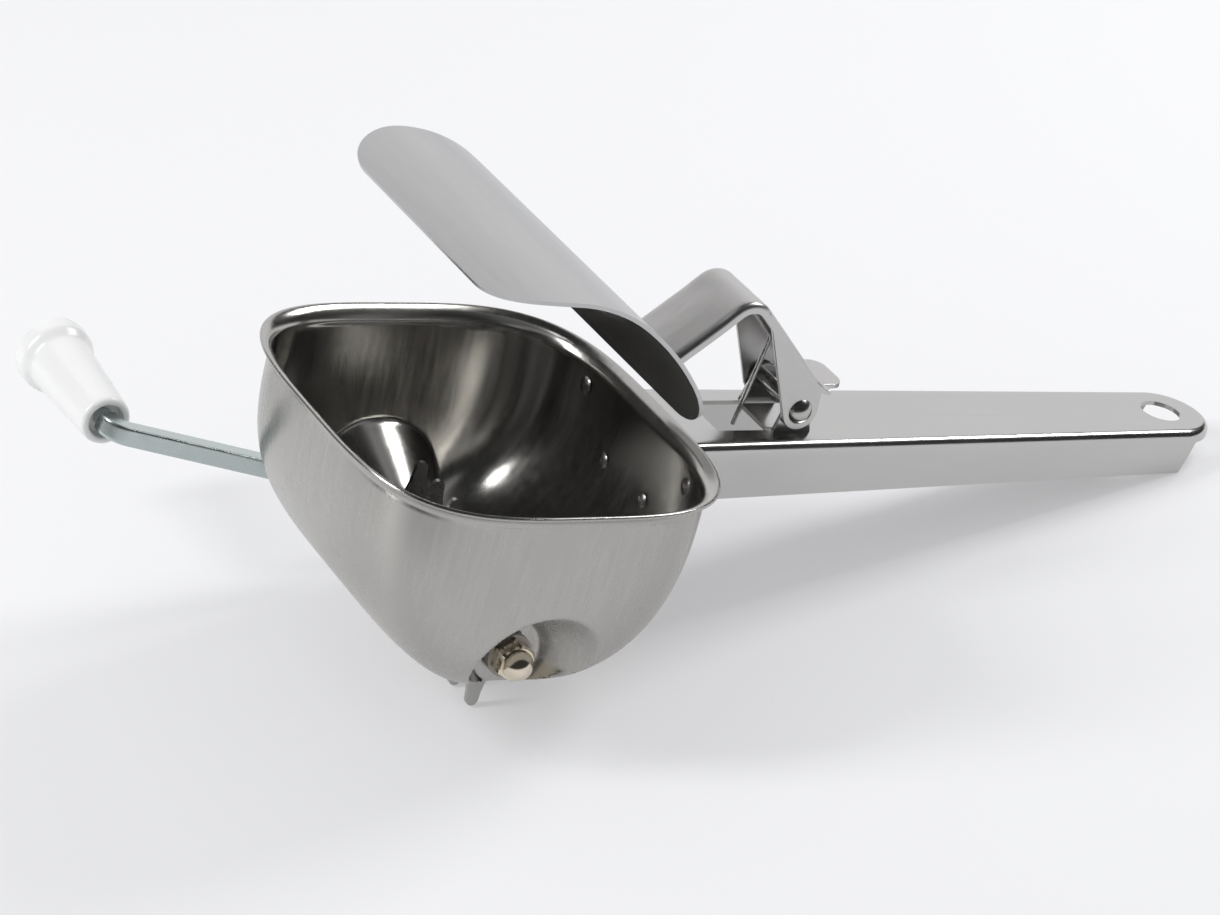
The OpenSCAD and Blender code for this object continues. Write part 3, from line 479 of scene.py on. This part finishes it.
handle = built("handle_channel", handle_shell())
tongue_x, cut_from = hinge_x - 4.7, hinge_x - 16.5
openings = [box(cut_from, tongue_x, -ear_in, ear_in, handle_rise - 2, handle_rise + 1)]
for s in (-1, 1):
    across = sorted([s * 5.0, s * (ear_in + 0.01)])
    along = (tongue_x - 0.5, hinge_x + ear_foot / 2)
    openings.append(box(*along, *across, handle_rise - 2.2, handle_rise + 1.2))
hang = lathe([[-3, 0], [-3, hang_r], [3, hang_r], [3, 0]], (hang_x, 0, handle_rise), (0, 0, 1), 72)
cut_away(handle, openings[:1])
cut_away(handle, openings[1:] + [hang])
ear_sides = [(ear_in, ear_in + handle_sheet), (-ear_in - handle_sheet, -ear_in)]
fixed = built("handle_ears", [slab(ear_outline(), *side, 0.12, stand) for side in ear_sides])
flange = built("handle_flange", [slab(flange_outline(), flange_x, flange_x + handle_sheet, 0.12,
                                      lambda a, b, t: points(t, a, b))])
dressed(handle, "frame", ["handle"], handle_finish, 42)
for part in (fixed, flange):
    dressed(part, "frame", ["handle"], handle_finish, 42)


# Rivets and the hinge pin


def wall_x(y, z):
    """The hopper's inner wall on the handle's side, from the body's formula."""
    depth = hopper_depth - sheet
    u = (rim_rise - z) / depth
    n = rim_power + (floor_power - rim_power) * u
    long = (hopper_len / 2 - sheet) * (1 - u ** belly_power) ** (1 / belly_round)
    wide = (hopper_wid / 2 - sheet) * (1 - end_draft * u) * math.sqrt(1 - u ** end_power)
    return hopper_shift + long * (1 - (abs(y) / wide) ** n) ** (1 / n)


places = [(-21.0, 32.2), (21.0, 32.2), (-8.1, 22.1), (8.1, 22.1)]
head = (1.9, 0.5)
rivets = built("handle_rivet_set", [
    rivet((0, y, z), (1, 0, 0), wall_x(y, z), flange_x + handle_sheet, 1.3, head, head) for y, z in places])
dressed(rivets, "frame", ["handle_rivets"], rivet_finish, 50)
pin_out = arm_half + seat_gap
pin = built("hinge_rivet", [
    rivet((hinge_x, 0, hinge_z), (0, 1, 0), -pin_out, pin_out, 1.5, (2.6, 1.5), (2.3, 1.0))])
dressed(pin, "frame", ["hinge_pin"], rivet_finish, 50)


# Pusher

plate_line = path(-25.2, 76.1, 23.9, (crest_r, -crest_turn), (tail_r, -tail_sweep))
tail_x, tail_z, tail_turn = plate_line[-1]
tail_fall = math.radians(-tail_turn)
tail_centre = np.array([tail_x - tail_r * math.sin(tail_fall), tail_z - tail_r * math.cos(tail_fall)])
root_turn = tail_fall - 3.6 / tail_r
root_out = tail_r + plate_t / 2 + arm_sheet / 2 + seat_gap
root = tail_centre + root_out * np.array([math.sin(root_turn), math.cos(root_turn)])
root_way = np.array([math.cos(root_turn), -math.sin(root_turn)])


def plate_shell():
    """A curved sheet: an upper and a wider lower arc carry straight lines across it, whose half width is cut
    at both ends by the rounded corners; the two faces stand half the sheet off its middle line."""
    length = lengths(plate_line)
    s = length[-1] / 2 * (1 - np.cos(np.pi * np.linspace(0, 1, 110)))
    line = np.stack([np.interp(s, length, plate_line[:, i]) for i in range(3)], -1)
    near = np.minimum(np.minimum(s, length[-1] - s), plate_corner)
    half = plate_half - plate_corner + np.sqrt(plate_corner ** 2 - (plate_corner - near) ** 2)
    v = np.linspace(-1, 1, 61)[None, :]
    y = half[:, None] * v
    faces = []
    for off in (plate_t / 2, -plate_t / 2):
        x, z = beside(line, off)
        faces.append(points(x[:, None], y, z[:, None]))
    ends = [skin(np.stack([faces[0][i], faces[1][i]])) for i in (0, -1)]
    return [skin(np.concatenate([faces[0], faces[1][:, ::-1]], 1), wrap=True)] + ends


def arm_shell():
    """A strap along its bent line. Its section turns down at both edges through a small bend into a lip; the
    lip fades out at the flat root and at the tab, whose half width ends in round corners."""
    foot = root - 3.4 * root_way
    line = path(foot[0], foot[1], -math.degrees(root_turn),
                (root_run,), (root_bend, math.degrees(root_turn) + climb), (climb_run,),
                (arch_r, -arch_turn), (leg_run,), (tab_bend, tab_turn), (tab_run,))
    length = lengths(line)
    marks = np.cumsum([root_run, root_bend * (root_turn + math.radians(climb)), climb_run,
                       arch_r * math.radians(arch_turn), leg_run,
                       tab_bend * math.radians(tab_turn), tab_run])
    shoulder = marks[5] + 0.3
    rounding = marks[6] - tab_corner + tab_corner * np.sin(np.radians(np.linspace(0, 90, 13)))
    s = np.unique(np.concatenate([length[length < marks[5]], [shoulder, shoulder + 0.002], rounding]))
    s = s[s <= length[-1]]
    line = np.stack([np.interp(s, length, line[:, i]) for i in range(3)], -1)
    lip = ease(marks[1] - 0.6, marks[1] + 3, s) * (1 - ease(marks[4] - 2.5, marks[4], s))
    left = np.clip(length[-1] - s, 0, tab_corner)
    tab_half = 2.5 + np.sqrt(tab_corner ** 2 - (tab_corner - left) ** 2)
    half = np.where(s <= shoulder, arm_half, tab_half)[:, None]
    r = (0.2 + 0.9 * lip)[:, None]
    deep = (arm_sheet / 2 + (arm_edge - arm_sheet / 2) * lip)[:, None]
    crown = (0.03 * ease(marks[1] + 1, marks[1] + 4, s) * (1 - ease(marks[2] - 5, marks[2], s)))[:, None]
    share = np.linspace(0, 1, 9)[None, :]
    bend = np.radians(np.linspace(0, 90, 6))[None, 1:]
    drop = np.linspace(0, 1, 4)[None, 1:]

    def side_of(g):
        """Rows of the face that lies g under the upper one."""
        q = np.maximum(r - g, 0.02)
        edge = half - g
        flat = (edge - q) * share
        out = np.concatenate([flat, edge - q + q * np.sin(bend), edge + 0 * drop], 1)
        up = arm_sheet / 2 - g
        fall = np.concatenate([up + 0 * flat, up - q + q * np.cos(bend), up - q + (-deep - up + q) * drop], 1)
        fall = fall - crown * np.maximum(0, out - 1.5)
        full_out = np.concatenate([-out[:, :0:-1], out], 1)
        full_up = np.concatenate([fall[:, :0:-1], fall], 1)
        h = np.radians(line[:, 2])[:, None]
        return points(line[:, :1] - full_up * np.sin(h), full_out, line[:, 1:2] + full_up * np.cos(h))

    outer, inner = side_of(0), side_of(arm_sheet)
    ends = [skin(np.stack([outer[i], inner[i]])) for i in (0, -1)]
    return [skin(np.concatenate([outer, inner[:, ::-1]], 1), wrap=True)] + ends, line, marks, s


def cheek_outline(top, foot):
    """One cheek: from the arch's end along the leg to a round about the hinge, and back along its tangent."""
    apart = np.array([top[0] - hinge_x, top[1] - hinge_z])
    reach = np.linalg.norm(apart)
    touch = math.atan2(apart[1], apart[0]) + math.acos(cheek_r / reach)
    a = np.linspace(touch, 2 * np.pi + math.radians(12), 40)
    round_end = np.stack([hinge_x + cheek_r * np.cos(a), hinge_z + cheek_r * np.sin(a)], -1)
    return np.concatenate([[top], round_end, [foot]])


strap, arm_line, arm_marks, arm_s = arm_shell()
leg_top = np.array([np.interp(arm_marks[3], arm_s, arm_line[:, i]) for i in (0, 1)])
leg_foot = np.array([np.interp(arm_marks[4], arm_s, arm_line[:, i]) for i in (0, 1)])
cheek_in, cheek_out = arm_half - arm_sheet + 0.02, arm_half - 0.02
cheek_sides = [(cheek_in, cheek_out), (-cheek_out, -cheek_in)]
cheeks = [slab(cheek_outline(leg_top, leg_foot), *side, 0.12, stand) for side in cheek_sides]
arm = built("pusher_strap", strap)
dressed(arm, "pusher", ["pusher_arm"], arm_finish, 42)
dressed(built("pusher_cheeks", cheeks), "pusher", ["pusher_arm"], arm_finish, 42)
dressed(built("pusher_flap", plate_shell()), "pusher", ["pusher_plate"], plate_finish, 42)
root_normal = (math.sin(root_turn), 0, math.cos(root_turn))
flush = -arm_sheet / 2 - seat_gap - plate_t
root_rivet = np.concatenate([[[flush, 0], [flush, 1.6], [flush + 0.4, 1.2], [arm_sheet / 2, 1.2]],
                             dome(arm_sheet / 2, 1, 2.1, 0.7)[::-1]])
root_rivets = [lathe(root_rivet, (root[0], y, root[1]), root_normal) for y in (-rivet_side, rivet_side)]
dressed(built("pusher_rivet_set", root_rivets),
        "pusher", ["pusher_rivets"], rivet_finish, 50)


# Return spring


def swept(line, r, sides=18):
    """A round wire along a path in the mill's middle plane, closed at both ends."""
    t = np.linspace(0, 2 * np.pi, sides, endpoint=False)[None, :]
    h = np.radians(line[:, 2])[:, None]
    off, y = r * np.cos(t), r * np.sin(t) + 0 * h
    rows = points(line[:, :1] - off * np.sin(h), y, line[:, 1:2] + off * np.cos(h))
    caps = [np.broadcast_to(rows[i].mean(0), rows[i].shape)[None] for i in (0, -1)]
    return skin(np.concatenate([caps[0], rows, caps[1]]), wrap=True)


wire_off = -(arm_sheet / 2 + wire_gap + wire_r)
climbed = np.array([np.interp(arm_marks[2], arm_s, arm_line[:, i]) for i in (0, 1)])
way = np.array([math.cos(math.radians(climb)), math.sin(math.radians(climb))])
hook = climbed - wire_hook * way + wire_off * np.array([-way[1], way[0]])
wire_steps = [(wire_hook,), (arch_r + wire_off, -arch_turn), (wire_leg,),
              (wire_bend, -(90 + wire_lean - tab_turn)), (wire_run,)]
wire_line = path(hook[0], hook[1], climb, *wire_steps)
wire_elbow = path(hook[0], hook[1], climb, *wire_steps[:3])[-1]
flex = [laid(np.array([x, 0, z])).tolist() for x, z, heading in (wire_elbow, wire_line[-1])]
wire = built("return_wire", [swept(wire_line, wire_r)])
dressed(wire, "pusher", ["return_spring"], spring_finish, 60, ("frame", *flex))


# Crank, grip and nut


def arm_y(u):
    """Place of the sloping crank arm's middle along the shaft, at a distance u from the shaft."""
    rim_wid = hopper_wid / 2 + lip_out
    return rim_wid + crank_gap + bar_half / math.cos(crank_slope) + (u - rim_rise) * math.tan(crank_slope)


bend_x = bend_r * (1 - math.sin(crank_slope))
bend_start = arm_y(bend_x) - bend_r * math.cos(crank_slope)
bend_end = arm_y(crank_reach - bend_x) + bend_r * math.cos(crank_slope)
grip_y = bend_end + 0.5
pin_end = grip_y + grip_len - grip_hollow + seat_gap + 0.8 + 0.6


def crank_shell():
    """One bar along the shaft, out through a bend to the sloping arm and back through another to the pin.
    Its section is a / (|cos t|^p + |sin t|^p)^(1/p): round for p = 2, a rounded square for p = 10."""
    def straight(u0, y0, u1, y1, tau, a, p, n=2):
        """Rows of a straight run: places, lean tau, half size a and section power p."""
        k = np.linspace(0, 1, n)
        return np.stack([u0 + (u1 - u0) * k, y0 + (y1 - y0) * k, 0 * k + tau, 0 * k + a, 0 * k + p], -1)

    b = np.linspace(0, math.pi / 2 - crank_slope, 13)
    side = 0 * b + bar_half
    out, power = bend_r * (1 - np.cos(b)), 0 * b + bar_power
    first = np.stack([out, bend_start + bend_r * np.sin(b), b, side, power], -1)
    second = np.stack([crank_reach - out, bend_end - bend_r * np.sin(b), b, side, power], -1)
    far = crank_reach - bend_x
    rows = np.concatenate([
        straight(0, -31.4, 0, -25.75, 0, thread_r, 2),
        straight(0, -25.75, 0, -22.6, 0, journal_r, 2),
        straight(0, -22.6, 0, 22.6, 0, bar_half, bar_power),
        straight(0, 22.6, 0, 25.8, 0, journal_r, 2),
        straight(0, 25.8, 0, bend_start, 0, bar_half, bar_power, 8),
        first[1:],
        straight(bend_x, arm_y(bend_x), far, arm_y(far), b[-1], bar_half, bar_power, 30)[1:],
        second[-2::-1],
        straight(crank_reach, bend_end, crank_reach, bend_end + 1.2, 0, bar_half, bar_power)[1:],
        straight(crank_reach, bend_end + 1.2, crank_reach, bend_end + 2.2, 0, pin_r, 2),
        straight(crank_reach, bend_end + 2.2, crank_reach, pin_end - 0.6, 0, pin_r, 2, 6)[1:],
        straight(crank_reach, pin_end - 0.6, crank_reach, pin_end, 0, 1.5, 2)[1:]])
    u, y, tau, a, p = (rows[:, i:i + 1] for i in range(5))
    t = np.linspace(0, 2 * np.pi, 64, endpoint=False)[None, :]
    size = a * (np.abs(np.cos(t)) ** p + np.abs(np.sin(t)) ** p) ** (-1 / p)
    e1, e2 = size * np.sin(t), size * np.cos(t)
    along, aside = u + e2 * np.cos(tau), y - e2 * np.sin(tau)
    c, s = math.cos(crank_lift), math.sin(crank_lift)
    ring = points(-along * c + e1 * s, aside, along * s + e1 * c)
    caps = [np.broadcast_to(ring[i].mean(0), ring[i].shape)[None] for i in (0, -1)]
    return skin(np.concatenate([caps[0], ring, caps[1]]), wrap=True)


def arc(x, r, cx, cr, a0, a1, n=7):
    """Part of a profile: an arc [x, radius] about a centre between two angles."""
    a = np.radians(np.linspace(a0, a1, n))
    return np.stack([cx + x * np.cos(a), cr + r * np.sin(a)], -1)


def grip_shell():
    """A tapering sleeve carried round its pin: a round near edge, straight sides that widen, a soft cove into
    the end flange, a rounded flange and a hollow at each end."""
    k = np.linspace(0, 1, 12)
    neck = grip_len - 7.4
    sides = np.stack([1.0 + (neck - 1.0) * k, 5.1 + 1.25 * k], -1)
    cove = np.stack([neck + 3.0 * k, 6.35 + 1.3 * ease(0, 1, k)], -1)[1:]
    deep = grip_len - grip_hollow
    profile = np.concatenate([
        [[grip_hollow, grip_bore], [grip_hollow, grip_hollow_r], [0.4, grip_hollow_r]],
        arc(0.4, 0.4, 0.4, 4.0, 270, 180, 5)[1:],
        arc(1.0, 1.0, 1.0, 4.1, 180, 90, 7), sides[1:], cove, [[grip_len - 2.4, 7.68]],
        arc(1.8, 1.8, grip_len - 1.8, 5.9, 90, 0, 9), [[grip_len, 3.9]],
        [[grip_len - 0.3, grip_hollow_r], [deep, grip_hollow_r]],
        [[deep, grip_bore], [grip_hollow, grip_bore]]])
    origin = (-crank_reach * math.cos(crank_lift), grip_y, crank_reach * math.sin(crank_lift))
    return lathe(profile, origin, (0, 1, 0), 72)


def nut_shell(flats=7.0):
    """A cap nut: six flats limited by a chamfer cone at each end, then a step and a dome."""
    t = np.linspace(0, 2 * np.pi, 144, endpoint=False)
    corner = flats / 2 / np.cos((t + np.pi / 6) % (np.pi / 3) - np.pi / 6)
    rows = [(26.75, 2.05), (26.75, 3.55), (26.98, 4.1), (29.6, 4.1), (29.95, 3.45)]
    y = np.array([r[0] for r in rows])[:, None]
    ring = np.minimum(np.array([r[1] for r in rows])[:, None], corner[None, :])
    cap = dome(29.95, 1, 3.1, 3.04, 16)[::-1]
    y = np.concatenate([y, cap[:, :1]])
    ring = np.concatenate([ring, np.broadcast_to(cap[:, 1:], (len(cap), len(t)))])
    bore = np.array([[31.3, 0], [31.3, 2.05]])
    y = np.concatenate([bore[:, :1], y])
    ring = np.concatenate([np.broadcast_to(bore[:, 1:], (2, len(t))), ring])
    return skin(points(ring * np.cos(t), -y, ring * np.sin(t)), wrap=True)


dressed(built("crank_bar", [crank_shell()]), "rotor", ["crank"], zinc_finish, 40)
dressed(built("crank_grip", [grip_shell()]), "grip", ["grip"], grip_finish, 50)
dressed(built("cap_nut", [nut_shell()]), "rotor", ["acorn_nut"], nickel_finish, 28)

# The washer behind the nut takes the dark bush metal as painted shade for the shaded gap in the pocket.
finishes = {"front_bush": bush_metal_and_gap_shade, "rear_bush": bush_metal_and_gap_shade, "nut_washer": bush_metal_and_gap_shade,
            "front_collar": shaft_finish, "rear_collar": shaft_finish, "grip_keeper": zinc_finish}
finishes.update({f"blade_{i}": blade_finish for i in range(1, blade_count + 1)})
finishes.update({f"spacer_{i}": shaft_finish for i in range(1, blade_count)})
for name, finish in finishes.items():
    node = frame["nodes"][name]
    node.data.materials.clear()
    node.data.materials.append(finish)


# Stage, light and camera


def stage_material(name, share):
    """Pale studio surface; for the camera and in reflections a share of it is its own white."""
    material, tree, bsdf = nodes_of(name)
    out = tree.nodes["Material Output"]
    bsdf.inputs["Base Color"].default_value = (0.8, 0.8, 0.81, 1)
    bsdf.inputs["Roughness"].default_value = 0.9
    bsdf.inputs["Specular IOR Level"].default_value = 0.0
    glow = linked(tree, "ShaderNodeEmission", [("Color", (0.95, 0.95, 0.965, 1)), ("Strength", 1.0)])
    ray = linked(tree, "ShaderNodeLightPath")
    seen = linked(tree, "ShaderNodeMath", [
        (0, ray.outputs["Is Camera Ray"]), (1, ray.outputs["Is Glossy Ray"])], operation="MAXIMUM")
    part = linked(tree, "ShaderNodeMath", [(0, seen.outputs[0]), (1, share)], operation="MULTIPLY")
    mix = linked(tree, "ShaderNodeMixShader", [
        (0, part.outputs[0]), (1, bsdf.outputs[0]), (2, glow.outputs[0])])
    tree.links.new(mix.outputs[0], out.inputs["Surface"])
    return material


def panel(name, corners, share):
    """One flat stage surface from its four corners."""
    mesh = bpy.data.meshes.new(name)
    mesh.from_pydata(corners, [], [(0, 1, 2, 3)])
    mesh.materials.append(stage_material("pale_" + name, share))
    obj = bpy.data.objects.new(name, mesh)
    bpy.context.scene.collection.objects.link(obj)


panel("floor", [(-6, -6, -0.0002), (6, -6, -0.0002), (6, 6, -0.0002), (-6, 6, -0.0002)], 0.35)
panel("backdrop", [(-0.8, 2.2, 0), (3.5, 2.2, 0), (3.5, 2.5, 2.8), (-0.8, 2.5, 2.8)], 1.0)

world = bpy.data.worlds.new("studio")
bpy.context.scene.world = world
world.use_nodes = True
tree = world.node_tree
back = tree.nodes["Background"]
ray = linked(tree, "ShaderNodeLightPath")
seen = linked(tree, "ShaderNodeMath", [
    (0, ray.outputs["Is Camera Ray"]), (1, ray.outputs["Is Transmission Ray"])], operation="MAXIMUM")
room = linked(tree, "ShaderNodeMapRange", [
    ("Value", ray.outputs["Is Glossy Ray"]), ("To Min", 0.55), ("To Max", 0.04)])
level = linked(tree, "ShaderNodeMath", [(0, seen.outputs[0]), (1, room.outputs[0])], operation="MAXIMUM")
back.inputs["Color"].default_value = (0.97, 0.98, 1.0, 1)
tree.links.new(level.outputs[0], back.inputs["Strength"])


def lamp(name, place, aim, size, power):
    """A soft rectangular light at a place, turned towards its aim."""
    light = bpy.data.lights.new(name, "AREA")
    light.shape, light.size, light.size_y, light.energy = "RECTANGLE", size[0], size[1], power
    obj = bpy.data.objects.new(name, light)
    bpy.context.scene.collection.objects.link(obj)
    behind = Vector(place) - Vector(aim)
    obj.location = place
    obj.rotation_euler = behind.to_track_quat("Z", "Y").to_euler()


lamp_aim = (-0.03, 0, 0.03)
lamp("right_box", (0.72, 0.08, 0.65), lamp_aim, (0.35, 0.35), 4.5)
lamp("left_box", (-0.78, 0.24, 0.67), lamp_aim, (0.16, 0.55), 5.5)

# Camera at the photograph's angle, worked out in the mill's frame
azimuth, elevation, roll = np.radians([-34.32, 24.45, 14.83])
distance = 796.2
target = np.array([28.7, 0.0, 27.35])
level_way = np.array([math.sin(azimuth), -math.cos(azimuth), 0.0])
away = math.cos(elevation) * level_way + math.sin(elevation) * np.array([0, 0, 1.0])
right = np.cross(-away, [0, 0, 1.0])
right = right / np.linalg.norm(right)
up = np.cross(right, -away)
right, up = math.cos(roll) * right + math.sin(roll) * up, math.cos(roll) * up - math.sin(roll) * right
zero = laid(np.zeros(3))
eye = laid(target + away * distance)
axes = np.stack([(laid(v) - zero) * 1000 for v in (right, up, away)], 1)
camera = bpy.data.objects.new("camera", bpy.data.cameras.new("camera"))
bpy.context.scene.collection.objects.link(camera)
sensor_width, frame_width_px, focal_px = 36.0, 1220, 4125.18
camera.data.sensor_fit, camera.data.sensor_width = "HORIZONTAL", sensor_width
camera.data.lens = focal_px / frame_width_px * sensor_width
camera.data.clip_start, camera.data.clip_end = 0.05, 40
camera.matrix_world = Matrix([[*axes[i], eye[i]] for i in range(3)] + [[0, 0, 0, 1]])
bpy.context.scene.camera = camera
bpy.context.scene.view_settings.view_transform = "Standard"
